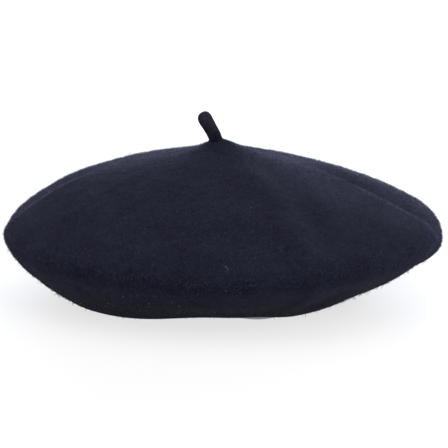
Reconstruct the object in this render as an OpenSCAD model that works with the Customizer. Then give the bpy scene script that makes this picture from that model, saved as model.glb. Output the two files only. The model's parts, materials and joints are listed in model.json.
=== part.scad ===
// A felted wool beret, filled as if worn: one seamless felt crown with its edge turned in,
// a felt stalk, a ribbon sweatband, a two-piece satin lining and a blank size label.
// Millimetres. +Z up, -Y front, +X the wearer's left. The origin is the centre of the head
// opening, on the plane that the hem rests on.

/* [Crown] */
// Radius of the crown at its rim, seen from above
crown_r = 141; // [132:1:150]
// Height of the crown's top, beside the stalk
top_h = 95.5; // [90:0.5:100]
// Height of the rim at the left and the right
rim_side_h = 41; // [38:1:44]
// Height of the rim at the front
rim_front_h = 34; // [32:1:38]
// Height of the rim at the back
rim_back_h = 51; // [44:1:54]
// Fullness of the top: a lower value is fuller
top_power = 0.65; // [0.60:0.01:0.70]
// Thickness of the felt
felt_t = 1.9; // [1.6:0.1:2.4]
// Height of the edge that is turned in at the opening
turn_in_h = 12; // [8:1:14]

/* [Slouch and folds] */
// How far the crown is pulled to the wearer's left, off the centre of the opening
slouch = 11.5; // [0:0.5:14]
// How far the stalk stands back from the crown's centre
stalk_back = 4.8; // [0:0.1:6]
// Lift of the crown's right shoulder
shoulder_lift = 6; // [0:0.5:7]
// Depth of the fold that runs out over the rim on the wearer's left
left_fold_depth = 8; // [0:0.5:9]
// Depth of the fold on the wearer's right
right_fold_depth = 4.5; // [0:0.5:6]

/* [Stalk] */
// Length of the stalk from the middle of its root to its tip
stalk_l = 19; // [14:0.5:30]
// Radius of the stalk at its root
stalk_root_r = 3.8; // [3:0.1:4]
// Radius of the stalk at its tip
stalk_tip_r = 4.1; // [3:0.1:4.4]
// Lean of the stalk from upright, towards the wearer's right
stalk_lean = 29; // [0:1:45]

/* [Sweatband and lining] */
// Inside radius of the sweatband, which is the head opening
head_r = 85; // [80:0.5:90]
// Width of the sweatband's ribbon
band_w = 28; // [22:1:30]
// Thickness of the sweatband's ribbon
band_t = 0.9; // [0.8:0.1:1.1]
// Thickness of the satin with its seam allowance
lining_t = 0.8; // [0.6:0.1:1.0]
// Height of the lining's middle above the opening
lining_h = 84; // [76:1:85]

/* [Label] */
// Length of the size label along its sewn edge
label_w = 20; // [14:1:24]
// Length of the size label from its sewn edge to its free end
label_l = 14; // [10:1:18]

/* [Hidden] */

navy_felt = [0.13, 0.14, 0.20];
dark_felt = [0.09, 0.09, 0.13];
grey_ribbon = [0.55, 0.56, 0.60];
navy_satin = [0.12, 0.13, 0.22];
pale_thread = [0.62, 0.63, 0.66];
white_label = [0.85, 0.85, 0.84];

sectors = 60;             // steps round the crown
top_rings = 11;           // steps from the stalk's hole to the rim
under_rings = 7;          // steps from the rim to the hem
clear = 0.3;              // space between pieces that are separate
knot_clear = 1.3;         // space between the stalk's root and its knot
thread_r = 0.25;          // radius of the sewing thread

hem_in_r = head_r + band_t + clear;
turn_out_r = hem_in_r + felt_t;
hem_r = turn_out_r + felt_t;
// each fold: the side it is on (1 left, -1 right), direction of its crest where it starts and at the
// rim, widths in degrees of the wall behind the crest and of the slope up again, depth, and where it
// starts as a share of the radius
folds = [
    [1, -3, -17.5, 9, 28, left_fold_depth, 0.30],
    [-1, 182, 189, 8, 16, right_fold_depth, 0.44]
];
fold_fade = 0.30;         // share of the radius over which a fold deepens
fold_at_rim = 0.63;       // depth of a fold at the rim, as a share of its full depth
pinch_h = 2.4;            // rise of the felt where it is drawn up round the stalk
pinch_share = 0.07;       // reach of that rise, as a share of the radius
stalk_pull = 0.2;         // share of the radius over which the felt's middle follows the stalk
under_power = 1.45;       // roundness of the crown's underside

stalk_x = slouch - stalk_back;
root_hole_r = stalk_root_r + clear + 0.1;
pivot_lift = 2.2;         // height of the root's middle above the felt round it
pivot_z = crown_top(180, root_hole_r / crown_r)[1] + pivot_lift;
knot_r = 5;
knot_edge_r = 1.6;
knot_z = pivot_z - stalk_root_r - knot_clear - knot_edge_r;

seam_r = crown_r - 11;    // radius of the lining's seam, where tip and side meet
seam_z = 36.5;            // height of that seam
seam_gap = 0.4;           // space between the two pieces along it, which the stitches cross
lining_tilt = 2;          // the lining's back is higher, as the crown's is
side_top_z = band_w - 1;  // height at which the side piece turns outward
groove_z = 3;             // height of the row of stitches that holds the sweatband
groove_h = 1;
groove_d = 0.6;

label_t = 0.6;
label_tilt = 14;          // slope of the lining that the label lies on
label_y = hem_in_r;
label_z = band_w + 1.1;

// ---- the crown's shape ----

function smooth(x, lo, hi) = let (t = min(1, max(0, (x - lo) / (hi - lo)))) t * t * (3 - 2 * t);

function turn_between(a, b) = ((a - b + 540) % 360) - 180;

function rim_z(a) =
    let (back = pow(max(0, sin(a)), 1.5), front = pow(max(0, -sin(a)), 1.5))
    rim_side_h * (1 - back - front) + rim_back_h * back + rim_front_h * front;

function one_fold(a, s, f) =
    let (
        crest = f[1] + (f[2] - f[1]) * smooth(s, f[6], 0.8),
        behind = f[0] * turn_between(a, crest),
        across = smooth(behind, 0, f[3]) * (1 - smooth(behind, f[3], f[3] + f[4])),
        begun = smooth(s, f[6], f[6] + fold_fade)
    )
    f[5] * across * begun * (1 - (1 - fold_at_rim) * smooth(s, 0.75, 1));

function fold_dip(a, s) = one_fold(a, s, folds[0]) + one_fold(a, s, folds[1]);

function shoulder(a, s) =
    shoulder_lift * pow(max(0, -cos(a)), 2) * smooth(s, 0.1, 0.5) * (1 - smooth(s, 0.7, 1));

// [radius, height, sideways shift] of the crown's top in direction a, at share s of its radius
function crown_top(a, s) = [
    s * crown_r,
    rim_z(a) + (top_h - rim_z(a)) * pow(1 - s, top_power) + shoulder(a, s)
        + pinch_h * exp(-pow(s / pinch_share, 2)) - fold_dip(a, s),
    slouch - stalk_back * exp(-pow(s / stalk_pull, 2))
];

// the same for its underside, q going from 0 at the rim to 1 at the hem
function crown_under(a, q) =
    let (up = 1 - pow(sin(90 * q), under_power))
    [hem_r + (crown_r - hem_r) * pow(cos(90 * q), 2), (rim_z(a) - fold_dip(a, 1)) * up, slouch * up];

first_share = root_hole_r / crown_r;
function top_share(i) = first_share + (1 - first_share) * (1 - pow(1 - i / top_rings, 1.7));

// the outside of the felt from the stalk's hole to just above the hem
function outside(a) = [
    for (i = [0 : top_rings]) crown_top(a, top_share(i)),
    for (i = [1 : under_rings - 1]) crown_under(a, i / under_rings),
    crown_under(a, 0.89)
];

// the point felt_t below point k of a profile, square to it
function beneath(profile, k) =
    let (
        before = profile[max(0, k - 1)],
        after = profile[min(len(profile) - 1, k + 1)],
        along = [after[0] - before[0], after[1] - before[1]],
        unit = along / norm(along),
        here = profile[k]
    )
    k == 0
        ? [here[0], here[1] - felt_t, here[2]]
        : [here[0] + felt_t * unit[1], here[1] - felt_t * unit[0], here[2]];

// the turned-in edge, from the outside of the hem round to the inside of the felt
hem_profile = [
    [hem_r + 0.3, 0.2, 0],
    [hem_r - 0.5, 0, 0],
    [hem_in_r + 1, 0, 0],
    [hem_in_r + 0.3, 0.3, 0],
    [hem_in_r, 1, 0],
    [hem_in_r, turn_in_h - 0.4, 0],
    [hem_in_r + 0.4, turn_in_h, 0],
    [turn_out_r - 0.4, turn_in_h, 0],
    [turn_out_r, turn_in_h - 0.4, 0],
    [turn_out_r, felt_t + 1.4, 0],
    [turn_out_r + 0.8, felt_t + 0.3, 0]
];

function crown_profile(a) =
    let (skin = outside(a), last = len(skin) - 1)
    concat(skin, hem_profile, [for (k = [last : -1 : 0]) beneath(skin, k)]);

// a point of a profile, placed in direction a
function placed(p, a) = [p[0] * cos(a) + p[2], p[0] * sin(a), p[1]];

// a closed wall swept round Z: profiles[j] is the closed section in sector j
module swept_wall(profiles) {
    n = len(profiles);
    m = len(profiles[0]);
    points = [for (j = [0 : n - 1]) for (p = profiles[j]) placed(p, j * 360 / n)];
    faces = [
        for (j = [0 : n - 1]) for (k = [0 : m - 1])
            let (j2 = (j + 1) % n, k2 = (k + 1) % m)
            each [[j * m + k, j * m + k2, j2 * m + k], [j2 * m + k, j * m + k2, j2 * m + k2]]
    ];
    polyhedron(points = points, faces = faces, convexity = 6);
}

// a thread of the given length, lying along the ring of radius r in direction a
module thread_on_ring(r, z, a, length) {
    translate([r * cos(a), r * sin(a), z])
        rotate([0, 0, a])
            rotate([90, 0, 0])
                cylinder(r = thread_r, h = length, center = true, $fn = 24);
}

// the lining's own place: over the crown's centre, at the height and slope of its seam
module on_lining() {
    translate([slouch, 0, seam_z])
        rotate([lining_tilt, 0, 0])
            children();
}

// ---- the pieces ----

module felt_crown() {
    color(navy_felt)
        swept_wall([for (j = [0 : sectors - 1]) crown_profile(j * 360 / sectors)]);
}

module stalk() {
    stem = stalk_l - stalk_tip_r;
    color(dark_felt)
        translate([stalk_x, 0, pivot_z])
            rotate([0, -stalk_lean, 0])
                rotate_extrude($fn = 64)
                    intersection() {
                        union() {
                            circle(r = stalk_root_r, $fn = 64);
                            polygon([[0, 0], [stalk_root_r, 0], [stalk_tip_r, stem], [0, stem]]);
                            translate([0, stem])
                                circle(r = stalk_tip_r, $fn = 64);
                        }
                        translate([0, -stalk_l])
                            square([2 * stalk_l, 3 * stalk_l]);
                    }
}

module stalk_knot() {
    color(dark_felt)
        translate([stalk_x, 0, knot_z])
            rotate_extrude($fn = 64) {
                translate([0, -knot_edge_r])
                    square([knot_r, 2 * knot_edge_r]);
                translate([knot_r, 0])
                    circle(r = knot_edge_r, $fn = 48);
            }
}

module sweatband() {
    color(grey_ribbon)
        difference() {
            cylinder(r = head_r + band_t, h = band_w, $fn = 180);
            translate([0, 0, -1])
                cylinder(r = head_r, h = band_w + 2, $fn = 180);
            translate([0, 0, groove_z])
                cylinder(r = head_r + groove_d, h = groove_h, $fn = 180);
        }
}

module band_stitches() {
    stitch_count = 60;
    stitch_share = 0.6;
    pitch = 360 / stitch_count;
    color(pale_thread)
        for (i = [0 : stitch_count - 1])
            rotate([0, 0, (i - stitch_share / 2) * pitch])
                translate([0, 0, groove_z + groove_h / 2])
                    rotate_extrude(angle = pitch * stitch_share, $fn = 180)
                        translate([head_r + thread_r + 0.05, 0])
                            circle(r = thread_r, $fn = 24);
}

// height of the lining's tip over its seam, at share s of its radius
function tip_rise(s) = (lining_h - seam_z) * pow(1 - pow(s, 1.35), 0.95);

module lining_tip() {
    steps = 14;
    edge = seam_r;
    outer = [for (i = [0 : steps]) [edge * i / steps, seam_gap + tip_rise(i / steps)]];
    inner = [for (i = [steps : -1 : 0]) outer[i] + [0, lining_t]];
    color(navy_satin)
        on_lining()
            rotate_extrude($fn = 180)
                polygon(concat(outer, inner));
}

// the section of the lining's side piece in direction a, from the turned-in edge to the seam
function side_profile(a) =
    let (
        in_r = hem_in_r,
        out_r = in_r + lining_t,
        foot_z = turn_in_h + 0.5,
        seam_at = seam_z + seam_r * sin(a) * sin(lining_tilt)
    )
    [
        [out_r, foot_z, 0],
        [in_r, foot_z, 0],
        [in_r, side_top_z, 0],
        [in_r + 0.9, side_top_z + lining_t, 0],
        [seam_r, seam_at, slouch],
        [seam_r, seam_at - lining_t, slouch],
        [out_r + 0.6, side_top_z - 0.2, 0]
    ];

module lining_side() {
    color(navy_satin)
        swept_wall([for (j = [0 : sectors - 1]) side_profile(j * 360 / sectors)]);
}

module lining_stitches() {
    stitch_count = 48;
    stitch_l = 5;
    color(navy_satin)
        on_lining()
            for (i = [0 : stitch_count - 1])
                thread_on_ring(seam_r + thread_r + 0.1, seam_gap / 2, i * 360 / stitch_count, stitch_l);
}

module tip_tack() {
    tack_l = 6;
    below = 0.6;
    color(navy_satin)
        on_lining()
            for (turned = [0, 1])
                translate([0, 0, tip_rise(0) + seam_gap - thread_r - below - turned * (2 * thread_r + 0.05)])
                    rotate([90, 0, 90 * turned])
                        cylinder(r = thread_r, h = tack_l, center = true, $fn = 24);
}

module size_label() {
    color(white_label)
        translate([0, label_y, label_z])
            rotate([label_tilt, 0, 0]) {
                translate([-label_w / 2, 0, -label_t / 2])
                    cube([label_w, label_l, label_t]);
                rotate([0, 90, 0])
                    cylinder(r = label_t / 2, h = label_w, center = true, $fn = 32);
            }
}

module label_stitches() {
    stitch_count = 5;
    stitch_l = 2.4;
    pitch = label_w / stitch_count;
    color(pale_thread)
        translate([0, label_y, label_z])
            rotate([label_tilt, 0, 0])
                for (i = [0 : stitch_count - 1])
                    translate([(i + 0.5) * pitch - label_w / 2, 0.6, label_t / 2 + thread_r])
                        rotate([0, 90, 0])
                            cylinder(r = thread_r, h = stitch_l, center = true, $fn = 24);
}

felt_crown();
stalk();
stalk_knot();
sweatband();
band_stitches();
lining_tip();
lining_side();
lining_stitches();
tip_tack();
size_label();
label_stitches();
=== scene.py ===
import json
import math

import bmesh
import bpy
import numpy as np
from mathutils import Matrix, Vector


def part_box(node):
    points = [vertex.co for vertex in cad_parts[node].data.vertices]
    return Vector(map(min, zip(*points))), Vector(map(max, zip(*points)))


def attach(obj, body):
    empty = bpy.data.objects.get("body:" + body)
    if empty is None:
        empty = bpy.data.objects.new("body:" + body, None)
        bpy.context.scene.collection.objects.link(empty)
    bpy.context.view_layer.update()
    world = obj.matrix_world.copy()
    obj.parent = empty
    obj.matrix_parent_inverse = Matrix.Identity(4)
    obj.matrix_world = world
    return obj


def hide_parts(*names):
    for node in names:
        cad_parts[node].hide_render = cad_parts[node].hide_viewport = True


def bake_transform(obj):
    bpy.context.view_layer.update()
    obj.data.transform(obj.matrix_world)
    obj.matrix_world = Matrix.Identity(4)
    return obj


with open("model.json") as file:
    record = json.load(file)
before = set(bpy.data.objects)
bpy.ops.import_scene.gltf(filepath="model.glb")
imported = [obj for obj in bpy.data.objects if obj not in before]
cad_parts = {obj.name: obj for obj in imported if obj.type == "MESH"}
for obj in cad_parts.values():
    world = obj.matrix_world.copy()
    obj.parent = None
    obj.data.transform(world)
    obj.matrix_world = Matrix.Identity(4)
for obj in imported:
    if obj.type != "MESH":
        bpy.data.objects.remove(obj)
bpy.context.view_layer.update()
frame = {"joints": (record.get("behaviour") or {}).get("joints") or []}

# A felted wool beret. Metres and degrees. +Z up, -Y front, +X the wearer's left.
# The felt, ribbon, satin and thread are meshes built here round the CAD solids they stand for.

MM = 0.001
FULL_TURN = 360.0

# ---- sizes that come from the CAD solids ----

CROWN_LO, CROWN_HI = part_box("felt_crown")
BAND_LO, BAND_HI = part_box("sweatband")
CROWN_R = (CROWN_HI.x - CROWN_LO.x) / 2
SLOUCH = (CROWN_HI.x + CROWN_LO.x) / 2
BAND_OUT_R = BAND_HI.x
BAND_H = BAND_HI.z
JOINTS = {j["name"]: j for j in frame["joints"]}
PIVOT = Vector(JOINTS["stalk_bend"]["pos_m"])
LABEL_HINGE = Vector(JOINTS["label_flip"]["pos_m"])

# ---- the crown's shape, as the CAD has it ----

TOP_H = 95.5 * MM
RIM_SIDE_H = 41 * MM
RIM_FRONT_H = 34 * MM
RIM_BACK_H = 51 * MM
TOP_POWER = 0.65
UNDER_POWER = 1.45
FELT_T = 1.9 * MM
TURN_IN_H = 12 * MM
STALK_BACK = 4.8 * MM      # how far the stalk stands back from the crown's centre
STALK_PULL = 0.2           # share of the radius over which the felt's middle follows the stalk
SHOULDER_LIFT = 6 * MM
PINCH_H = 2.4 * MM
PINCH_SHARE = 0.07
COLLAR_AT = 8 * MM         # the felt puckers up beside the stalk, on its right
COLLAR_W = 10 * MM
COLLAR_H = 2.0 * MM
HEM_IN_R = BAND_OUT_R + 0.3 * MM
TURN_OUT_R = HEM_IN_R + FELT_T
HEM_R = TURN_OUT_R + FELT_T
UNDER_END = 0.89          # share of the underside at which the turned edge begins
FOLD_FADE = 0.30
FOLD_TURNED = 0.8         # share of the radius by which a crest has its direction at the rim
# each fold: direction of its crest where it starts and at the rim, widths in degrees of the wall
# behind the crest and of the slope up again, depth, depth at the rim, and the share of the radius
# where it starts
FOLDS = [
    (-3, -17.5, 9, 28, 8.0 * MM, 5.0 * MM, 0.30),
    (182, 189, 8, 16, 4.5 * MM, 3.0 * MM, 0.44),
]
CREST_H = 1.0 * MM         # height of the line pressed along each fold's crest
CREST_W = (9.0, 1.6)       # its half widths in degrees, on the near side and towards the wall
CREST_NAP = 1.0            # half width in degrees of the paler nap along it, which paints a highlight on the crest
CREST_NAP_END = (0.82, 1.0)   # shares of the radius over which that nap thins out

# ---- small shapes of the real felt, on top of the CAD shape ----

# each soft ridge or dent: direction, share of the radius, half lengths along and across, height
RIDGES = [
    (-63, 0.45, 34 * MM, 8 * MM, 1.5 * MM),
    (-68, 0.85, 26 * MM, 8 * MM, 1.9 * MM),
    (-57, 0.78, 22 * MM, 11 * MM, -2.0 * MM),
    (0, 0.90, 10 * MM, 26 * MM, 3.5 * MM),
    (-148, 0.52, 24 * MM, 4 * MM, 0.35 * MM),
    (-142, 0.55, 24 * MM, 6 * MM, -0.2 * MM),
    (-130, 0.93, 7 * MM, 8 * MM, -1.2 * MM),
    (-150, 0.93, 8 * MM, 8 * MM, -1.0 * MM),
    (-32, 0.86, 16 * MM, 14 * MM, 1.2 * MM),
    (60, 0.80, 20 * MM, 11 * MM, -1.5 * MM),
    (112, 0.75, 26 * MM, 9 * MM, 1.3 * MM),
    (150, 0.85, 14 * MM, 12 * MM, -1.1 * MM),
]
HEM_LIFT = 4.0 * MM       # rise of the hem between its rests, at the front
HEM_LIFT_TURN = 22        # half width of that rise, in degrees
HEM_LIFT_FADE = (2 * MM, 20 * MM)
# where the ribbon shows under the felt: direction, half width, felt's rise, ribbon's drop
PEEP = (-68, 9, 1.2 * MM, 1.25 * MM)

RIM_ROUND = 5 * MM        # how far the rim is rounded over
RIM_REACH = 34 * MM       # distance from the rim at which the rounding ends

SECTORS = 320
TOP_ROWS = 128
UNDER_ROWS = 44
INNER_STEP = 5

PATCH_FIBRES = 12000      # in each of the four patches that the nap is made in
FOLD_FIBRES = 1250        # along the crests of the folds, in a paler colour that paints a highlight there
RIM_NAP = (1.6, 9 * MM)   # extra share of nap on the rim, and the half height of the strip that has it
UPRIGHT_SHARE = 0.6
PRESSED_AT = 0.05 * MM    # height below which the table presses the nap flat
LINT_COUNT = 260
STRAY_HAIR = (13 * MM, -133 * MM, 43.2 * MM)
HAIR_SIZE = (4.5 * MM, 0.5 * MM, 0.16 * MM)   # length, height that it stands to, thickness
HAIR_ALONG = (-0.38, 0, 1)
SEED = 7


def smooth(x, lo, hi):
    t = np.clip((x - lo) / (hi - lo), 0, 1)
    return t * t * (3 - 2 * t)


def turn_between(a, b):
    return (a - b + FULL_TURN * 1.5) % FULL_TURN - FULL_TURN / 2


def sin_deg(a):
    return np.sin(np.radians(a))


def cos_deg(a):
    return np.cos(np.radians(a))


def rim_z(a):
    back = np.maximum(0, sin_deg(a)) ** 1.5
    front = np.maximum(0, -sin_deg(a)) ** 1.5
    return RIM_SIDE_H * (1 - back - front) + RIM_BACK_H * back + RIM_FRONT_H * front


def fold_dip(a, s):
    total = np.zeros_like(a + s)
    for crest_from, crest_to, wall, slope, depth, rim_depth, start in FOLDS:
        crest = crest_from + (crest_to - crest_from) * smooth(s, start, FOLD_TURNED)
        behind = turn_between(a, crest) * np.sign(cos_deg(crest_from))
        across = smooth(behind, 0, wall) * (1 - smooth(behind, wall, wall + slope))
        deep = depth + (rim_depth - depth) * smooth(s, 0.75, 1.0)
        begun = smooth(s, start, start + FOLD_FADE)
        half = np.where(behind < 0, *CREST_W)
        total += begun * (deep * across - CREST_H * np.exp(-((behind / half) ** 2)))
    return total


def crest_share(a, s):
    """How near each place on the crown's top is to the crest of a fold, from 0 to 1."""
    total = np.zeros_like(a + s)
    for crest_from, crest_to, _, _, _, _, start in FOLDS:
        crest = crest_from + (crest_to - crest_from) * smooth(s, start, FOLD_TURNED)
        near = np.exp(-((turn_between(a, crest) / CREST_NAP) ** 2))
        total += near * smooth(s, start, start + FOLD_FADE) * (1 - smooth(s, *CREST_NAP_END))
    return total


def shoulder(a, s):
    side = np.maximum(0, -cos_deg(a)) ** 2
    return SHOULDER_LIFT * side * smooth(s, 0.1, 0.5) * (1 - smooth(s, 0.7, 1))


def placed(r, z, shift, a):
    return np.stack([r * cos_deg(a) + shift, r * sin_deg(a), z + 0 * a], axis=-1)


def crown_top(a, s):
    """Points of the crown's top in direction a, at share s of its radius."""
    rim = rim_z(a)
    z = rim + (TOP_H - rim) * (1 - s) ** TOP_POWER + shoulder(a, s)
    z = z + PINCH_H * np.exp(-((s / PINCH_SHARE) ** 2)) - fold_dip(a, s)
    off = np.hypot(s * CROWN_R * cos_deg(a) - COLLAR_AT, s * CROWN_R * sin_deg(a))
    z = z + COLLAR_H * np.exp(-((off / COLLAR_W) ** 2))
    return placed(s * CROWN_R, z, SLOUCH - STALK_BACK * np.exp(-((s / STALK_PULL) ** 2)), a)


def crown_under(a, q):
    """Points of its underside, q going from 0 at the rim to 1 at the hem."""
    up = 1 - sin_deg(90 * q) ** UNDER_POWER
    r = HEM_R + (CROWN_R - HEM_R) * cos_deg(90 * q) ** 2
    return placed(r, (rim_z(a) - fold_dip(a, 1.0)) * up, SLOUCH * up, a)


def lifted(points, felt=False):
    """The points with the hem's rise at the front added, for whatever is sewn to the hem too."""
    a = np.degrees(np.arctan2(points[..., 1], points[..., 0]))
    rise = HEM_LIFT * np.exp(-((turn_between(a, -90) / HEM_LIFT_TURN) ** 2))
    peep = np.exp(-((turn_between(a, PEEP[0]) / PEEP[1]) ** 2))
    rise = rise + (PEEP[2] if felt else -PEEP[3]) * peep
    out = points.copy()
    out[..., 2] += rise * (1 - smooth(points[..., 2], *HEM_LIFT_FADE))
    return out


def value_noise(points, cell, seed):
    """Smooth noise from -1 to 1, in lumps about one cell across."""
    flat = points.reshape(-1, 3) / cell + 1000
    low = np.floor(flat).astype(np.int64)
    f = flat - low
    f = f * f * (3 - 2 * f)
    total = np.zeros(len(flat))
    for corner in range(8):
        step = np.array([corner & 1, corner >> 1 & 1, corner >> 2 & 1])
        c = low + step
        h = (c[:, 0] * 73856093) ^ (c[:, 1] * 19349663) ^ (c[:, 2] * 83492791) ^ (seed * 7919)
        h = ((h ^ (h >> 13)) * 1274126177) & 0x7FFFFFFF
        h = (h ^ (h >> 15)) & 0xFFFF
        total += np.prod(np.where(step, f, 1 - f), axis=1) * (h / 32767.5 - 1)
    return total.reshape(points.shape[:-1])


def grid_normals(p):
    """Outward normals of a grid of points, whose rows are closed rings."""
    around = np.roll(p, -1, axis=1) - np.roll(p, 1, axis=1)
    along = np.gradient(p, axis=0)
    n = np.cross(around, along)
    length = np.linalg.norm(n, axis=-1, keepdims=True)
    return -n / np.maximum(length, 1e-12)


def ring_faces(rows, count, closed=False):
    """Quads between the rings of a grid; closed joins the last ring to the first."""
    i, j = np.meshgrid(np.arange(rows if closed else rows - 1), np.arange(count), indexing="ij")
    i2, j2 = (i + 1) % rows, (j + 1) % count
    quads = np.stack([i * count + j, i * count + j2, i2 * count + j2, i2 * count + j], axis=-1)
    return quads.reshape(-1, 4).tolist()


def rounded(points, times=2):
    """An open profile with its corners cut, keeping its two ends."""
    p = np.array(points, float)
    for _ in range(times):
        cut = np.empty((2 * (len(p) - 1), p.shape[1]))
        cut[0::2] = 0.75 * p[:-1] + 0.25 * p[1:]
        cut[1::2] = 0.25 * p[:-1] + 0.75 * p[1:]
        p = np.vstack([p[:1], cut, p[-1:]])
    return p


def mesh_piece(name, points, faces, material, body=None):
    mesh = bpy.data.meshes.new(name)
    mesh.from_pydata(np.asarray(points).reshape(-1, 3).tolist(), [], faces)
    shell = bmesh.new()
    shell.from_mesh(mesh)
    bmesh.ops.recalc_face_normals(shell, faces=shell.faces)
    shell.to_mesh(mesh)
    shell.free()
    mesh.shade_smooth()
    piece = bpy.data.objects.new(name, mesh)
    bpy.context.scene.collection.objects.link(piece)
    mesh.materials.append(material)
    if body:
        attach(piece, body)
    return piece


# ---- materials ----


class Shader:
    """A node material under construction, round one Principled shader."""

    def __init__(self, name, **constants):
        self.material = bpy.data.materials.new(name)
        self.material.use_nodes = True
        self.tree = self.material.node_tree
        self.principled = self.tree.nodes["Principled BSDF"]
        for key, value in constants.items():
            self.principled.inputs[SOCKETS[key]].default_value = value
        self.place = self.make("ShaderNodeTexCoord").outputs["Object"]

    def make(self, kind, links=(), **values):
        made = self.tree.nodes.new(kind)
        for key, value in values.items():
            setattr(made, key, value)
        for socket, source in dict(links).items():
            self.feed(made.inputs[socket], source)
        return made

    def feed(self, socket, source):
        if isinstance(source, bpy.types.NodeSocket):
            self.tree.links.new(source, socket)
        else:
            socket.default_value = source

    def noise(self, scale, detail=3.0, roughness=0.6, distortion=0.0, place=None):
        made = self.make("ShaderNodeTexNoise", {
            "Vector": place or self.place, "Scale": scale, "Detail": detail,
            "Roughness": roughness, "Distortion": distortion})
        return made.outputs["Fac"]

    def stretched(self, x, y, z):
        made = self.make("ShaderNodeMapping", {"Vector": self.place, "Scale": (x, y, z)})
        return made.outputs["Vector"]

    def span(self, value, lo, hi, to_lo=0.0, to_hi=1.0):
        made = self.make("ShaderNodeMapRange", {
            "Value": value, "From Min": lo, "From Max": hi, "To Min": to_lo, "To Max": to_hi})
        return made.outputs["Result"]

    def sum(self, a, b, operation="ADD"):
        return self.make("ShaderNodeMath", {0: a, 1: b}, operation=operation).outputs[0]

    def mix(self, factor, a, b):
        made = self.make("ShaderNodeMix", data_type="RGBA")
        self.feed(made.inputs["Factor"], factor)
        self.feed([s for s in made.inputs if s.name == "A" and s.type == "RGBA"][0], a)
        self.feed([s for s in made.inputs if s.name == "B" and s.type == "RGBA"][0], b)
        return [s for s in made.outputs if s.type == "RGBA"][0]

    def bump(self, height, strength, distance, under=None):
        links = {"Height": height, "Strength": strength, "Distance": distance}
        if under is not None:
            links["Normal"] = under
        return self.make("ShaderNodeBump", links).outputs["Normal"]

    def finish(self, colour, normal=None, roughness=None):
        self.feed(self.principled.inputs["Base Color"], colour)
        if normal is not None:
            self.feed(self.principled.inputs["Normal"], normal)
        if roughness is not None:
            self.feed(self.principled.inputs["Roughness"], roughness)
        return self.material


SOCKETS = {
    "roughness": "Roughness", "sheen": "Sheen Weight", "sheen_roughness": "Sheen Roughness",
    "sheen_tint": "Sheen Tint", "specular": "Specular IOR Level", "anisotropic": "Anisotropic",
    "glow": "Emission Strength",
}


def tangle(s, scale, width, detail=2.0, distortion=1.2):
    """Thin curved lines, like hairs matted together: where a noise passes through its middle."""
    n = s.noise(scale, detail, 0.55, distortion)
    off = s.sum(s.sum(n, 0.5, "SUBTRACT"), 0.0, "ABSOLUTE")
    return s.span(off, 0.0, width, 1.0, 0.0)


def painted_shade_below(s, colour):
    """The colour with shade painted in: darker on the crown's underside and darkest next to the hem."""
    height = s.make("ShaderNodeSeparateXYZ", {"Vector": s.place}).outputs["Z"]
    # painted shade: towards black below 44 mm, then towards a near-black below 28 mm
    colour = s.mix(s.span(height, 32 * MM, 44 * MM, 0.34, 0.0), colour, (0, 0, 0, 1))
    return s.mix(s.span(height, 4 * MM, 28 * MM, 0.88, 0.0), colour, (0.0016, 0.0003, 0, 1))


def felt_material(name, dark, light, lint, sheen, fine=1.0, paint_underside_shade=False, paint_root_shade=False):
    """Fulled wool: mottled, with tangled fibres and a few specks of lint, and where asked painted shade on the
    underside or at the stalk's root.
    """
    s = Shader(name, roughness=0.95, specular=0.03, sheen=sheen, sheen_roughness=0.3,
               sheen_tint=(0.60, 0.62, 1.0, 1))
    cloud = s.noise(42, 4, 0.65)
    lumps = s.noise(260, 4, 0.7, 0.6)
    grain = s.noise(900 * fine, 3, 0.75, 0.9)
    hairs = s.sum(tangle(s, 560 * fine, 0.05), tangle(s, 340 * fine, 0.035, 3.0, 2.0), "MAXIMUM")
    tone = s.sum(s.sum(cloud, 0.24, "MULTIPLY"), s.sum(lumps, 0.26, "MULTIPLY"))
    tone = s.sum(tone, s.sum(grain, 0.50, "MULTIPLY"))
    tone = s.sum(s.span(tone, 0.40, 0.60, 0.0, 0.75), s.sum(hairs, 0.40, "MULTIPLY"))
    colour = s.mix(tone, dark, light)
    if lint:
        cells = s.make("ShaderNodeTexVoronoi", {"Vector": s.place, "Scale": 150.0})
        speck = s.span(cells.outputs["Distance"], 0.05, 0.09, 1.0, 0.0)
        pick = s.make("ShaderNodeSeparateColor", {"Color": cells.outputs["Color"]})
        chosen = s.span(pick.outputs[0], 0.86, 0.88)
        colour = s.mix(s.sum(s.sum(speck, chosen, "MULTIPLY"), 0.4, "MULTIPLY"), colour, lint)
    # painted shade on the underside, darkest next to the hem
    if paint_underside_shade:
        colour = painted_shade_below(s, colour)
    if paint_root_shade:
        # painted shade: the stalk's colour goes towards black near its root on the crown
        piece_place = s.make("ShaderNodeTexCoord").outputs["Generated"]
        height = s.make("ShaderNodeSeparateXYZ", {"Vector": piece_place}).outputs["Z"]
        colour = s.mix(s.span(height, 0.12, 0.80, 0.58, 0.0), colour, (0, 0, 0, 1))
    coarse = s.bump(lumps, 0.45, 0.7 * MM)
    fine_bump = s.bump(s.sum(grain, s.sum(hairs, 0.6, "MULTIPLY")), 0.7, 0.35 * MM, coarse)
    return s.finish(colour, fine_bump)


def fibre_material(name, dark, light):
    s = Shader(name, roughness=0.8, specular=0.02, sheen=0.08, sheen_roughness=0.4,
               sheen_tint=(0.6, 0.65, 1.0, 1))
    tone = s.noise(330, 2, 0.7)
    # the fibres get the same painted shade below as the felt
    return s.finish(painted_shade_below(s, s.mix(s.span(tone, 0.3, 0.7), dark, light)))


def lint_material():
    s = Shader("pale_lint", roughness=0.85, specular=0.1, sheen=0.1, sheen_roughness=0.4)
    tone = s.noise(200, 1, 0.5)
    return s.finish(s.mix(s.span(tone, 0.35, 0.65), (0.035, 0.037, 0.055, 1), (0.26, 0.25, 0.28, 1)))


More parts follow.
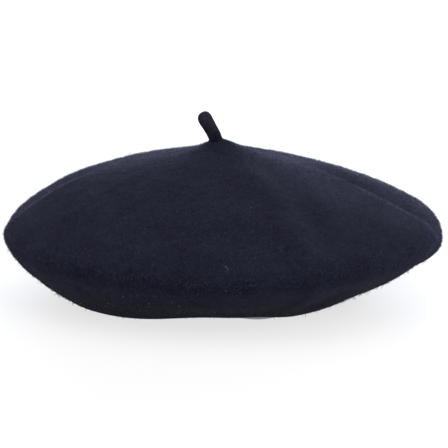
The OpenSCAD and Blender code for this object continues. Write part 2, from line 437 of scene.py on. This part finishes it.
def grosgrain_material():
    s = Shader("grosgrain", roughness=0.62, specular=0.3, sheen=0.15, sheen_roughness=0.4,
               sheen_tint=(0.9, 0.92, 1.0, 1))
    yarn = s.noise(1600, 3, 0.6, place=s.stretched(1, 1, 0.25))
    cloud = s.noise(60, 3, 0.6)
    tone = s.sum(s.sum(yarn, 0.6, "MULTIPLY"), s.sum(cloud, 0.4, "MULTIPLY"))
    colour = s.mix(s.span(tone, 0.35, 0.65), (0.22, 0.23, 0.27, 1), (0.40, 0.41, 0.46, 1))
    return s.finish(colour, s.bump(yarn, 0.4, 0.15 * MM))


def thread_material(name, dark, light):
    s = Shader(name, roughness=0.6, specular=0.3, sheen=0.1, sheen_roughness=0.4)
    ply = s.noise(2400, 3, 0.6)
    return s.finish(s.mix(s.span(ply, 0.3, 0.7), dark, light), s.bump(ply, 0.4, 0.08 * MM))


def satin_material():
    s = Shader("navy_satin", specular=0.5, anisotropic=0.5, sheen=0.05, sheen_roughness=0.3)
    float_yarn = s.noise(2200, 2, 0.5, place=s.stretched(1, 0.12, 0.3))
    cloud = s.noise(35, 4, 0.6)
    colour = s.mix(s.span(cloud, 0.3, 0.7), (0.012, 0.014, 0.034, 1), (0.024, 0.027, 0.060, 1))
    rough = s.span(float_yarn, 0.2, 0.8, 0.30, 0.46)
    return s.finish(colour, s.bump(float_yarn, 0.25, 0.06 * MM), rough)


def label_material():
    s = Shader("woven_tape", roughness=0.7, specular=0.25, sheen=0.1, sheen_roughness=0.4)
    warp = s.noise(2600, 2, 0.5, place=s.stretched(1, 0.2, 0.2))
    weft = s.noise(2600, 2, 0.5, place=s.stretched(0.2, 1, 1))
    weave = s.sum(warp, weft, "MULTIPLY")
    colour = s.mix(s.span(weave, 0.1, 0.4), (0.52, 0.52, 0.50, 1), (0.80, 0.80, 0.78, 1))
    return s.finish(colour, s.bump(weave, 0.5, 0.12 * MM))


# ---- the felt crown ----


def soft_relief(points):
    """Height of the felt's own ridges, dents and slow waves at points of the crown's outside."""
    height = 0.9 * MM * value_noise(points, 62 * MM, 11) + 0.45 * MM * value_noise(points, 27 * MM, 12)
    for direction, share, half_along, half_across, rise in RIDGES:
        ray = np.array([cos_deg(direction), sin_deg(direction)])
        flat = points[..., :2] - np.array([SLOUCH, 0]) - ray * share * CROWN_R
        along = flat @ ray
        across = flat @ np.array([-ray[1], ray[0]])
        height += rise * np.exp(-((along / half_along) ** 2) - (across / half_across) ** 2)
    return height


def felt_lumps(points):
    return (0.16 * MM * value_noise(points, 6.5 * MM, 21) + 0.11 * MM * value_noise(points, 3.4 * MM, 22)
            + 0.06 * MM * value_noise(points, 1.9 * MM, 23))


def round_rim(skin):
    """The same rings with the rim rounded over, by averaging each profile along its own length."""
    steps = np.linalg.norm(np.diff(skin[:, ::8], axis=0), axis=-1).mean(axis=1)
    run = np.concatenate([[0], np.cumsum(steps)])
    share = np.gradient(run)
    off_rim = np.abs(run - run[TOP_ROWS - 1])
    reach = RIM_ROUND * (1 - smooth(off_rim, 0, RIM_REACH)) + 0.2 * MM
    weight = np.exp(-0.5 * ((run[:, None] - run[None]) / reach[:, None]) ** 2) * share[None]
    weight /= weight.sum(axis=1, keepdims=True)
    return np.tensordot(weight, skin, axes=1)


def crown_outside():
    """The felt's outside, from the top's middle down to the start of the turned edge."""
    a = np.arange(SECTORS) * FULL_TURN / SECTORS
    u = np.linspace(0, 1, TOP_ROWS + 1)[1:]
    s = (1 - (1 - u) ** 1.7)[:, None]
    q = np.linspace(0, UNDER_END, UNDER_ROWS + 1)[1:, None]
    skin = round_rim(np.concatenate([crown_top(a[None], s), crown_under(a[None], q)]))
    out = grid_normals(skin)
    calm = np.concatenate([smooth(s, 0.03, 0.12), 1 - smooth(q, 0.55, 0.85)])
    height = soft_relief(skin) * calm + felt_lumps(skin)
    return lifted(skin + out * height[..., None], felt=True)


def hem_rings():
    """The turned edge, from the outside of the hem round to the inside of the crown's felt."""
    a = np.arange(SECTORS) * FULL_TURN / SECTORS
    section = rounded([
        (HEM_R + 0.7 * MM, 0.45 * MM), (HEM_R - 0.2 * MM, 0), (TURN_OUT_R, 0),
        (HEM_IN_R + 0.6 * MM, 0),
        (HEM_IN_R, 0.8 * MM), (HEM_IN_R, 3 * MM), (HEM_IN_R, 7 * MM), (HEM_IN_R, TURN_IN_H),
        (TURN_OUT_R, TURN_IN_H), (TURN_OUT_R, 7 * MM), (TURN_OUT_R, 3.2 * MM),
        (TURN_OUT_R + 1.2 * MM, 2.0 * MM),
    ])
    rings = placed(section[:, :1], section[:, 1:], 0, a[None])
    out = grid_normals(rings)
    soft = 0.5 * smooth(rings[..., 2], 0, 1 * MM)
    return lifted(rings + out * (soft * felt_lumps(rings))[..., None], felt=True)


def build_crown(material):
    skin = crown_outside()
    out = grid_normals(skin)
    under_felt = (skin - out * FELT_T)[::-INNER_STEP]
    rings = np.concatenate([skin, hem_rings(), under_felt])
    count = rings.shape[0]
    tip = skin[0].mean(axis=0) + np.array([0, 0, 0.2 * MM])
    tip_under = under_felt[-1].mean(axis=0)
    points = np.vstack([rings.reshape(-1, 3), tip, tip_under])
    faces = ring_faces(count, SECTORS)
    top, bottom, last = count * SECTORS, count * SECTORS + 1, (count - 1) * SECTORS
    for j in range(SECTORS):
        j2 = (j + 1) % SECTORS
        faces.append([top, j2, j])
        faces.append([bottom, last + j, last + j2])
    crown = mesh_piece("felt_body", points, faces, material, "crown")
    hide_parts("felt_crown")
    return skin, out


def scattered(skin, out, rng, count, wanted):
    """Places on the felt and the normals there; wanted weighs each cell of the skin's grid."""
    ring_size = np.linalg.norm(np.roll(skin, -1, axis=1) - skin, axis=-1)
    row_size = np.linalg.norm(np.gradient(skin, axis=0), axis=-1)
    weight = (ring_size * row_size * wanted)[:-1].ravel()
    picked = rng.choice(weight.size, count, p=weight / weight.sum())
    row, col = np.unravel_index(picked, (skin.shape[0] - 1, skin.shape[1]))
    col2 = (col + 1) % skin.shape[1]
    fr, fc = rng.random((2, count, 1))
    root = ((1 - fr) * (1 - fc) * skin[row, col] + (1 - fr) * fc * skin[row, col2]
            + fr * (1 - fc) * skin[row + 1, col] + fr * fc * skin[row + 1, col2])
    return root, out[row, col]


def needles(name, root, normal, rng, length, stand, thick, material, along=None):
    """Ends of wool, each a thin closed curl from under the felt's surface to a point in the air."""
    count = len(root)
    loose = rng.normal(size=(count, 3)) if along is None else np.array([along], float)
    lie = loose - normal * np.sum(loose * normal, axis=1, keepdims=True)
    lie /= np.linalg.norm(lie, axis=1, keepdims=True)
    side = np.cross(normal, lie)
    bend = rng.uniform(-0.4, 0.4, (count, 1)) * length
    start = root - normal * 0.25 * MM
    near = root + lie * length * 0.33 + normal * stand * 0.8 + side * bend * 0.4
    far = root + lie * length * 0.68 + normal * stand + side * bend * 0.3
    end = root + lie * length + normal * stand * rng.uniform(0.2, 1.3, (count, 1)) - side * bend * 0.3
    corners = []
    for centre, size in ((start, 1.0), (near, 0.95), (far, 0.75)):
        for turn in (0, 120, 240):
            offset = normal * cos_deg(turn) + side * sin_deg(turn)
            corners.append(centre + offset * thick * size)
    points = np.stack([*corners, end], axis=1)
    points[..., 2] = np.maximum(points[..., 2], PRESSED_AT)
    first = np.arange(count)[:, None] * 10
    faces = (first + np.array([0, 2, 1])).tolist()
    for k in range(3):
        k2 = (k + 1) % 3
        for low in (0, 3):
            faces += (first + low + np.array([k, k2, 3 + k2, 3 + k])).tolist()
        faces += (first + np.array([6 + k, 6 + k2, 9])).tolist()
    return mesh_piece(name, points, faces, material, "crown")


def build_nap(skin, out, material, crest_highlight_material, lint_material):
    """Loose ends of wool that stand a little off the felt, and the pale lint caught in them; paler ends along
    the folds' crests paint a highlight there.
    """
    rng = np.random.default_rng(SEED)
    row = np.arange(skin.shape[0])[:, None]
    third = np.arange(SECTORS) * 3 // SECTORS
    top = row < TOP_ROWS
    a = np.arange(SECTORS) * FULL_TURN / SECTORS
    s = (row[:TOP_ROWS] + 1) / TOP_ROWS
    crests = np.zeros(skin.shape[:2])
    crests[:TOP_ROWS] = crest_share(a[None], 1 - (1 - s) ** 1.7)
    rubbed = 1 + RIM_NAP[0] * np.exp(-(((skin[..., 2] - skin[TOP_ROWS - 1, :, 2]) / RIM_NAP[1]) ** 2))
    patches = [(f"felt_nap_top_{k + 1}", PATCH_FIBRES, (top & (third == k)) * rubbed) for k in range(3)]
    patches += [("felt_nap_under", PATCH_FIBRES, ~top * rubbed), ("felt_nap_folds", FOLD_FIBRES, crests)]
    for name, count, wanted in patches:
        root, normal = scattered(skin, out, rng, count, wanted)
        u, v, w = rng.random((3, count, 1))
        upright = u < UPRIGHT_SHARE
        length = np.where(upright, 0.3 + 0.9 * v, 1.1 + 3.2 * v ** 2) * MM
        stand = np.where(upright, 0.35 + 0.75 * w, 0.1 + 0.9 * w ** 1.5) * MM
        stand = stand + 1.2 * MM * v * (w > 0.93)
        thick = (0.045 + 0.085 * rng.random((count, 1)) ** 2) * MM
        needles(name, root, normal, rng, length, stand, thick,
                crest_highlight_material if wanted is crests else material)
    dusty = 0.25 + np.exp(-((skin[..., 0] + 60 * MM) / (50 * MM)) ** 2) * (skin[..., 2] < 34 * MM)
    root, normal = scattered(skin, out, rng, LINT_COUNT, dusty * (skin[..., 1] < 60 * MM))
    length = (0.5 + 1.0 * rng.random((LINT_COUNT, 1)) ** 3) * MM
    stand = rng.uniform(0.15, 0.4, (LINT_COUNT, 1)) * MM
    thick = (0.09 + 0.12 * rng.random((LINT_COUNT, 1)) ** 2) * MM
    needles("lint", root, normal, rng, length, stand, thick, lint_material)
    spot = np.argmin(np.linalg.norm(skin - np.array(STRAY_HAIR), axis=-1))
    row, col = np.unravel_index(spot, skin.shape[:2])
    needles("stray_hair", skin[row, col][None], out[row, col][None], rng, *HAIR_SIZE,
            lint_material, along=HAIR_ALONG)


# ---- the stalk ----

STALK_LEAN = 29
STALK_L = 18.6 * MM
STALK_ROOT_R = 4.3 * MM
STALK_TIP_R = 4.7 * MM
STALK_SIDES = 56
FILLET_R = 5.8 * MM       # the fillet's radius on the felt, and its height on the stalk
FILLET_H = 1.6 * MM


def crown_height(x, y):
    """Height of the crown's felt near the stalk."""
    share = np.hypot(x - (SLOUCH - STALK_BACK), y) / CROWN_R
    a = np.degrees(np.arctan2(y, x - (SLOUCH - STALK_BACK)))
    return crown_top(a, share)[..., 2]


def build_stalk(material):
    """A rolled felt stalk that grows out of the crown through a small fillet."""
    a = np.arange(STALK_SIDES) * FULL_TURN / STALK_SIDES
    up = np.array([-sin_deg(STALK_LEAN), 0, cos_deg(STALK_LEAN)])
    right = np.array([cos_deg(STALK_LEAN), 0, sin_deg(STALK_LEAN)])
    ahead = np.array([0, 1, 0])
    base = np.array(PIVOT)
    foot_x = PIVOT.x + (PIVOT.z - crown_height(PIVOT.x, 0)) * math.tan(math.radians(STALK_LEAN))
    stem = STALK_L - STALK_TIP_R

    def ring(h, r):
        spoke = right * cos_deg(a)[:, None] + ahead * sin_deg(a)[:, None]
        return base + up * h + spoke * r

    def on_felt(r, sunk):
        x, y = foot_x + r * cos_deg(a), r * sin_deg(a)
        return np.stack([x, y, crown_height(x, y) - sunk], axis=-1)

    low = on_felt(FILLET_R, 0.6 * MM)
    corner, high = on_felt(STALK_ROOT_R, -0.1 * MM), ring(FILLET_H, STALK_ROOT_R)
    rings = []
    for t in np.linspace(0, 1, 12):
        rings.append((1 - t) ** 2 * low + 2 * t * (1 - t) * corner + t * t * high)
    for t in np.linspace(0, 1, 26)[1:]:
        waist = 0.22 * MM * math.sin(math.pi * t) ** 2
        r = STALK_ROOT_R + (STALK_TIP_R - STALK_ROOT_R) * t - waist
        rings.append(ring(FILLET_H + t * (stem - FILLET_H), r))
    for t in np.linspace(0, 90, 12)[1:-1]:
        rings.append(ring(stem + STALK_TIP_R * sin_deg(t), STALK_TIP_R * cos_deg(t) ** 0.85))
    rings = np.array(rings)
    out = grid_normals(rings)
    lumps = 0.20 * MM * value_noise(rings, 4.5 * MM, 31) + 0.09 * MM * value_noise(rings, 1.7 * MM, 32)
    rings = rings + out * lumps[..., None]
    count = len(rings)
    tip = base + up * (STALK_L - 0.1 * MM)
    foot = rings[0].mean(axis=0) - np.array([0, 0, 0.6 * MM])
    points = np.vstack([rings.reshape(-1, 3), tip, foot])
    faces = ring_faces(count, STALK_SIDES)
    last, top = (count - 1) * STALK_SIDES, count * STALK_SIDES
    for j in range(STALK_SIDES):
        j2 = (j + 1) % STALK_SIDES
        faces.append([last + j, last + j2, top])
        faces.append([j2, j, top + 1])
    stalk = mesh_piece("felt_stalk", points, faces, material)
    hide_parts("stalk")
    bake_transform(stalk)


# ---- ribbon, lining, label and thread ----

LINING_LO, LINING_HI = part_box("lining_side")
SEAM_R = (LINING_HI.x - LINING_LO.x) / 2
SEAM_Z = 36.5 * MM
SEAM_GAP = 0.4 * MM
LINING_H = 84 * MM
LINING_TILT = 2
SATIN_T = 0.35 * MM
SIDE_TOP_Z = BAND_H - 1 * MM
RIBBON_T = 0.72 * MM
RIB_PITCH = 1.15 * MM
LAP = 6.0
STITCH_Z = 3.5 * MM
BAND_STITCHES = 60
SEAM_STITCHES = 48


def build_ribbon(material):
    """Grosgrain: ribs across it, scalloped edges, and its two ends lapped at the back."""
    mid_r = BAND_OUT_R - 0.45 * MM
    length = 2 * math.pi * mid_r * (FULL_TURN + LAP) / FULL_TURN
    steps_per_rib = 4
    count = int(length / RIB_PITCH) * steps_per_rib
    run = np.linspace(0, FULL_TURN + LAP, count + 1)
    rib = np.cos(2 * math.pi * np.arange(count + 1) / steps_per_rib)
    lapped = smooth(run, FULL_TURN - 5, FULL_TURN - 1)
    a = 93 + run
    wave = 0.35 * MM * value_noise(placed(mid_r, 0.01, 0, a), 30 * MM, 41)
    rows = 9
    section = []
    for side in (-1, 1):
        for k in range(rows):
            share = k / (rows - 1) if side < 0 else 1 - k / (rows - 1)
            edge = min(1.0, 0.55 + 3.0 * min(share, 1 - share))
            section.append((side * edge, share))
    rings = []
    for side, share in section:
        scallop = -0.14 * MM * rib * (1 if share == 0 else -1 if share == 1 else 0)
        r = mid_r - (RIBBON_T + 0.2 * MM) * lapped + side * (RIBBON_T / 2 + 0.07 * MM * rib)
        z = share * (BAND_H - 0.3 * MM) + scallop + wave * share + 0.18 * MM
        rings.append(placed(r, z, 0, a))
    grid = lifted(np.stack(rings, axis=1))
    n = len(section)
    faces = []
    for i in range(count):
        for k in range(n):
            k2 = (k + 1) % n
            faces.append([i * n + k, i * n + k2, (i + 1) * n + k2, (i + 1) * n + k])
    faces.append(list(range(n)))
    faces.append([count * n + k for k in reversed(range(n))])
    ribbon = mesh_piece("grosgrain_sweatband", grid, faces, material, "crown")
    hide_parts("sweatband")


def twisted(centre_lines, radius):
    """Two-ply thread along each centre line."""
    points, faces = [], []
    sides = 6
    ply_r = radius * 0.56
    for line in centre_lines:
        line = np.asarray(line, float)
        along = np.gradient(line, axis=0)
        along /= np.linalg.norm(along, axis=1, keepdims=True)
        guide = np.array([0, 0, 1.0]) if abs(along[0][2]) < 0.9 else np.array([1.0, 0, 0])
        u = np.cross(along, guide)
        u /= np.linalg.norm(u, axis=1, keepdims=True)
        v = np.cross(along, u)
        run = np.concatenate([[0], np.cumsum(np.linalg.norm(np.diff(line, axis=0), axis=1))])
        for phase in (0, 180):
            first = len(points)
            turn = phase + run / (5.0 * radius) * FULL_TURN / 2
            centre = line + (u * cos_deg(turn)[:, None] + v * sin_deg(turn)[:, None]) * radius * 0.48
            for k in range(sides):
                t = k * FULL_TURN / sides
                points_k = centre + (u * cos_deg(t) + v * sin_deg(t)) * ply_r
                points.extend(points_k)
            m = len(line)
            for i in range(m - 1):
                for k in range(sides):
                    k2 = (k + 1) % sides
                    here, beside = first + k * m + i, first + k2 * m + i
                    faces.append([here, beside, beside + 1, here + 1])
            faces.append([first + k * m for k in range(sides)])
            faces.append([first + k * m + m - 1 for k in reversed(range(sides))])
    return np.array(points), faces


def stitched(name, lines, material, body, node, radius=0.25 * MM):
    points, faces = twisted(lines, radius)
    piece = mesh_piece(name, points, faces, material, body)
    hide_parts(node)


def build_band_stitches(material):
    face_r = BAND_OUT_R - 0.45 * MM - RIBBON_T / 2
    lines = []
    for i in range(BAND_STITCHES):
        t = np.linspace(0, 1, 14)
        a = FULL_TURN / BAND_STITCHES * i + 3.6 * (t - 0.5)
        dive = 0.55 * MM * (1 - np.sin(np.pi * t) ** 0.5)
        slant = 0.12 * MM * math.sin(i * 2.3)
        lines.append(lifted(placed(face_r - 0.12 * MM + dive, STITCH_Z + slant * (t - 0.5), 0, a)))
    stitched("sweatband_stitches", lines, material, "crown", "band_stitches")


def on_lining(points):
    """Points of the lining's own frame, put over the crown's centre and tilted as the lining is."""
    x, y, z = points[..., 0], points[..., 1], points[..., 2]
    c, t = cos_deg(LINING_TILT), sin_deg(LINING_TILT)
    return np.stack([x + SLOUCH, y * c - z * t, SEAM_Z + y * t + z * c], axis=-1)


def tip_rise(s):
    return (LINING_H - SEAM_Z) * (1 - s ** 1.35) ** 0.95


def thin_shell(rings, thickness, disc):
    """A closed thin cloth from rings of points; a disc is closed over at its first ring."""
    out = grid_normals(rings)
    both = np.concatenate([rings, (rings - out * thickness)[::-1]])
    rows, count = both.shape[:2]
    if not disc:
        return both.reshape(-1, 3), ring_faces(rows, count, closed=True)
    points = np.vstack([both.reshape(-1, 3), both[0].mean(axis=0), both[-1].mean(axis=0)])
    faces = ring_faces(rows, count)
    for j in range(count):
        j2 = (j + 1) % count
        faces.append([rows * count, j, j2])
        faces.append([rows * count + 1, (rows - 1) * count + j2, (rows - 1) * count + j])
    return points, faces


def build_lining(material):
    """A satin tip gathered into a satin side piece, which is gathered into the sweatband."""
    count = 288
    a = np.arange(count) * FULL_TURN / count
    s = np.linspace(0.012, 1, 44)[:, None]
    pleat = np.sin(np.radians(a * 36 + 40 * np.sin(np.radians(a * 5)))) + 0.5 * np.sin(np.radians(a * 61))
    rise = SEAM_GAP + tip_rise(s) + 0.55 * MM * pleat[None] * smooth(s, 0.35, 0.9) * (1 - smooth(s, 0.93, 1))
    rise = rise - 1.6 * MM * np.exp(-((s / 0.03) ** 2))
    flat_r = s * SEAM_R
    tip = np.stack([flat_r * cos_deg(a), flat_r * sin_deg(a), rise], axis=-1)
    points, faces = thin_shell(on_lining(tip), -SATIN_T, True)
    piece = mesh_piece("satin_tip", points, faces, material, "crown")
    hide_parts("lining_tip")

    in_r, foot_z = HEM_IN_R + 0.05 * MM, TURN_IN_H + 0.5 * MM
    seam_at = SEAM_Z + SEAM_R * sin_deg(a) * sin_deg(LINING_TILT)
    share = np.linspace(0, 1, 34)[:, None]
    out_run = smooth(share, 0, 0.08) * 0.02 + share * 0.98
    slope_r = in_r + 0.9 * MM + (SEAM_R - in_r - 0.9 * MM) * out_run
    slope_z = SIDE_TOP_Z + 0.8 * MM + (seam_at[None] - SIDE_TOP_Z - 0.8 * MM) * out_run
    gather = np.sin(np.radians(a * 72 + 50 * np.sin(np.radians(a * 7)))) + 0.6 * np.sin(np.radians(a * 41))
    puff = 0.75 * MM * gather[None] * smooth(share, 0.02, 0.2) * (1 - smooth(share, 0.35, 0.95))
    slope_z = slope_z + puff + 0.4 * MM * np.sin(np.pi * share)
    rise_z = np.linspace(foot_z, SIDE_TOP_Z, 10)[:, None]
    wall = placed(in_r + 0 * rise_z, rise_z, 0, a[None])
    slope = placed(slope_r, slope_z, SLOUCH * out_run, a[None])
    points, faces = thin_shell(np.concatenate([wall, slope]), SATIN_T, False)
    piece = mesh_piece("satin_side", points, faces, material, "crown")
    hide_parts("lining_side")


def build_lining_threads(material):
    lines = []
    for i in range(SEAM_STITCHES):
        t = np.linspace(0, 1, 14)
        half = math.degrees(2.5 * MM / SEAM_R)
        a = i * (FULL_TURN / SEAM_STITCHES) + half * (2 * t - 1)
        r = SEAM_R + 0.35 * MM - 0.3 * MM * (1 - np.sin(np.pi * t) ** 0.5)
        z = SEAM_GAP / 2 + 0.35 * MM * (t - 0.5)
        lines.append(on_lining(placed(r, z, 0, a)))
    stitched("lining_seam_stitches", lines, material, "crown", "lining_stitches")
    lines = []
    for turned in (0, 1):
        t = np.linspace(-1, 1, 20)
        z = tip_rise(0.0) + SEAM_GAP - 1.1 * MM - turned * 0.55 * MM + 0.5 * MM * t ** 4
        x, y = (3 * MM * t, 0 * t) if turned else (0 * t, 3 * MM * t)
        lines.append(on_lining(np.stack([x, y, z - 1.0 * MM], axis=-1)))
    stitched("tip_tack_thread", lines, material, "crown", "tip_tack")


def build_label(material, thread):
    """A blank woven tape, sewn along one edge behind the ribbon, lying on the lining."""
    lo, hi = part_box("size_label")
    width = hi.x - lo.x
    length = 14 * MM
    tilt = math.degrees(math.atan2(hi.z - LABEL_HINGE.z - 0.3 * MM, hi.y - LABEL_HINGE.y))
    nx, ny, thick = 60, 44, 0.45 * MM
    x = np.linspace(-width / 2, width / 2, nx + 1)
    y = np.linspace(-0.2 * MM, length, ny + 1)
    gx, gy = np.meshgrid(x, y)
    weave = 0.03 * MM * np.sin(gx / (0.5 * MM) * math.pi) * np.sin(gy / (0.45 * MM) * math.pi)
    curl = 0.5 * MM * (gy / length) ** 2 * (0.4 + 0.6 * (2 * gx / width) ** 2)
    edge = np.minimum(width / 2 - np.abs(gx), np.minimum(gy + 0.2 * MM, length - gy))
    plump = thick / 2 * (0.55 + 0.45 * smooth(edge, 0, 0.6 * MM))
    top = np.stack([gx, gy, curl + plump + weave], axis=-1)
    under = np.stack([gx, gy, curl - plump + weave], axis=-1)
    flat = np.concatenate([top.reshape(-1, 3), under.reshape(-1, 3)])
    c, t = cos_deg(tilt), sin_deg(tilt)
    points = np.stack([flat[:, 0] + LABEL_HINGE.x, flat[:, 1] * c - flat[:, 2] * t + LABEL_HINGE.y,
                       flat[:, 1] * t + flat[:, 2] * c + LABEL_HINGE.z], axis=-1)
    w, layer = nx + 1, (nx + 1) * (ny + 1)
    faces = []
    for j in range(ny):
        for i in range(nx):
            q = [j * w + i, j * w + i + 1, (j + 1) * w + i + 1, (j + 1) * w + i]
            faces.append(q)
            faces.append([layer + k for k in reversed(q)])
    rim = ([i for i in range(nx)] + [j * w + nx for j in range(ny)]
           + [ny * w + i for i in range(nx, 0, -1)] + [j * w for j in range(ny, 0, -1)])
    for k, here in enumerate(rim):
        after = rim[(k + 1) % len(rim)]
        faces.append([here, layer + here, layer + after, after])
    label = mesh_piece("woven_label", points, faces, material, "label")
    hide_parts("size_label")
    lines = []
    for i in range(5):
        t = np.linspace(-1, 1, 12)
        x = (i + 0.5) * width / 5 - width / 2 + 1.2 * MM * t
        y = 0.8 * MM + 0 * t
        z = 0.38 * MM - 0.3 * MM * t ** 4
        lines.append(np.stack([x + LABEL_HINGE.x, y * c - z * math.sin(math.radians(tilt)) + LABEL_HINGE.y,
                               y * math.sin(math.radians(tilt)) + z * c + LABEL_HINGE.z], axis=-1))
    stitched("label_stitch_thread", lines, thread, "label", "label_stitches", 0.2 * MM)


def build_knot(material):
    """The rolled end of the stalk's felt, inside the crown."""
    lo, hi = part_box("stalk_knot")
    centre, half_r, half_h = (lo + hi) / 2, (hi.x - lo.x) / 2, (hi.z - lo.z) / 2
    count = 40
    a = np.arange(count) * FULL_TURN / count
    t = np.linspace(6, 174, 17)[:, None]
    r = half_r * sin_deg(t) ** 0.6
    z = half_h * np.sign(cos_deg(t)) * np.abs(cos_deg(t)) ** 0.7
    rings = placed(r, z, 0, a[None]) + np.array(centre)
    lumps = 0.25 * MM * value_noise(rings, 2.4 * MM, 51) - 0.2 * MM
    rings = rings + grid_normals(rings) * lumps[..., None]
    points = np.vstack([rings.reshape(-1, 3), rings[0].mean(axis=0), rings[-1].mean(axis=0)])
    rows = len(rings)
    faces = ring_faces(rows, count)
    for j in range(count):
        j2 = (j + 1) % count
        faces.append([rows * count, j, j2])
        faces.append([rows * count + 1, (rows - 1) * count + j2, (rows - 1) * count + j])
    knot = mesh_piece("felt_knot", points, faces, material, "crown")
    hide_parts("stalk_knot")


# ---- camera, light and floor ----


CAMERA_LENS = 188.9
CAMERA_TILT = 12          # degrees that it looks down by
CAMERA_AWAY = 1.5
AIM_RIGHT, AIM_H = 0.3 * MM, 0.0429
FLOOR_HALF = 4.0
FLOOR_GLOW = 0.71
FLOOR_BELOW = 0.3 * MM    # gap under the hem, so that the two never share a plane


def build_camera():
    data = bpy.data.cameras.new("camera")
    data.sensor_width = 36
    data.lens = CAMERA_LENS
    camera = bpy.data.objects.new("camera", data)
    bpy.context.scene.collection.objects.link(camera)
    aim = Vector((SLOUCH + AIM_RIGHT, 0, AIM_H))
    tilt = math.radians(CAMERA_TILT)
    back = Vector((0, -math.cos(tilt), math.sin(tilt)))
    camera.location = aim + back * CAMERA_AWAY
    camera.rotation_euler = back.to_track_quat("Z", "Y").to_euler()
    data.clip_start, data.clip_end = 0.05, 50
    bpy.context.scene.camera = camera


def area_light(name, place, target, width, watts, colour=(1, 1, 1), height=None):
    data = bpy.data.lights.new(name, "AREA")
    data.shape = "RECTANGLE" if height else "DISK"
    data.size = width
    if height:
        data.size_y = height
    data.energy = watts
    data.color = colour
    light = bpy.data.objects.new(name, data)
    light.location = place
    light.rotation_euler = (Vector(place) - Vector(target)).to_track_quat("Z", "Y").to_euler()
    light.visible_camera = False
    bpy.context.scene.collection.objects.link(light)


def build_studio():
    world = bpy.data.worlds.new("studio")
    world.use_nodes = True
    background = world.node_tree.nodes["Background"].inputs
    background["Color"].default_value = (1, 1, 1, 1)
    background["Strength"].default_value = 1.0
    bpy.context.scene.world = world
    area_light("key", (1.12, -1.68, 1.1), (0, 0, 0.05), 1.4, 20.5)
    area_light("rim", (0.3, 2.0, 0.50), (0, 0, 0.06), 2.5, 86, (0.68, 0.74, 1.0), 0.5)
    s = Shader("pale_floor", roughness=0.9, specular=0.1, glow=FLOOR_GLOW)
    grain = s.noise(6, 2, 0.5)
    floor_material = s.finish(s.mix(grain, (0.22, 0.22, 0.22, 1), (0.25, 0.25, 0.25, 1)))
    s.principled.inputs["Emission Color"].default_value = (1, 1, 1, 1)
    mesh = bpy.data.meshes.new("floor")
    corners = [(x * FLOOR_HALF, y * FLOOR_HALF, -FLOOR_BELOW) for x, y in ((-1, -1), (1, -1), (1, 1), (-1, 1))]
    mesh.from_pydata(corners, [], [(0, 1, 2, 3)])
    floor = bpy.data.objects.new("floor", mesh)
    mesh.materials.append(floor_material)
    bpy.context.scene.collection.objects.link(floor)


bpy.context.scene.view_settings.view_transform = "Standard"
build_camera()
build_studio()

FELT = felt_material("navy_felt", (0.0034, 0.0040, 0.0074, 1), (0.0176, 0.0191, 0.0352, 1),
                     (0.10, 0.10, 0.13, 1), 0.06, paint_underside_shade=True)
STALK_FELT = felt_material("stalk_felt", (0.0030, 0.0030, 0.0062, 1), (0.0340, 0.0335, 0.0530, 1),
                           None, 0.08, paint_root_shade=True)
outer_skin, outer_normals = build_crown(FELT)
build_nap(outer_skin, outer_normals,
          fibre_material("wool_fibre", (0.009, 0.0100, 0.0180, 1), (0.060, 0.066, 0.117, 1)),
          # paler fibres for the folds' crests: a painted highlight
          fibre_material("crest_highlight_fibre", (0.034, 0.035, 0.061, 1), (0.135, 0.138, 0.235, 1)),
          lint_material())
build_stalk(STALK_FELT)
build_knot(STALK_FELT)
BAND_THREAD = thread_material("grey_thread", (0.28, 0.29, 0.32, 1), (0.46, 0.47, 0.51, 1))
NAVY_THREAD = thread_material("navy_thread", (0.016, 0.018, 0.040, 1), (0.036, 0.040, 0.080, 1))
build_ribbon(grosgrain_material())
build_band_stitches(BAND_THREAD)
build_lining(satin_material())
build_lining_threads(NAVY_THREAD)
build_label(label_material(), BAND_THREAD)
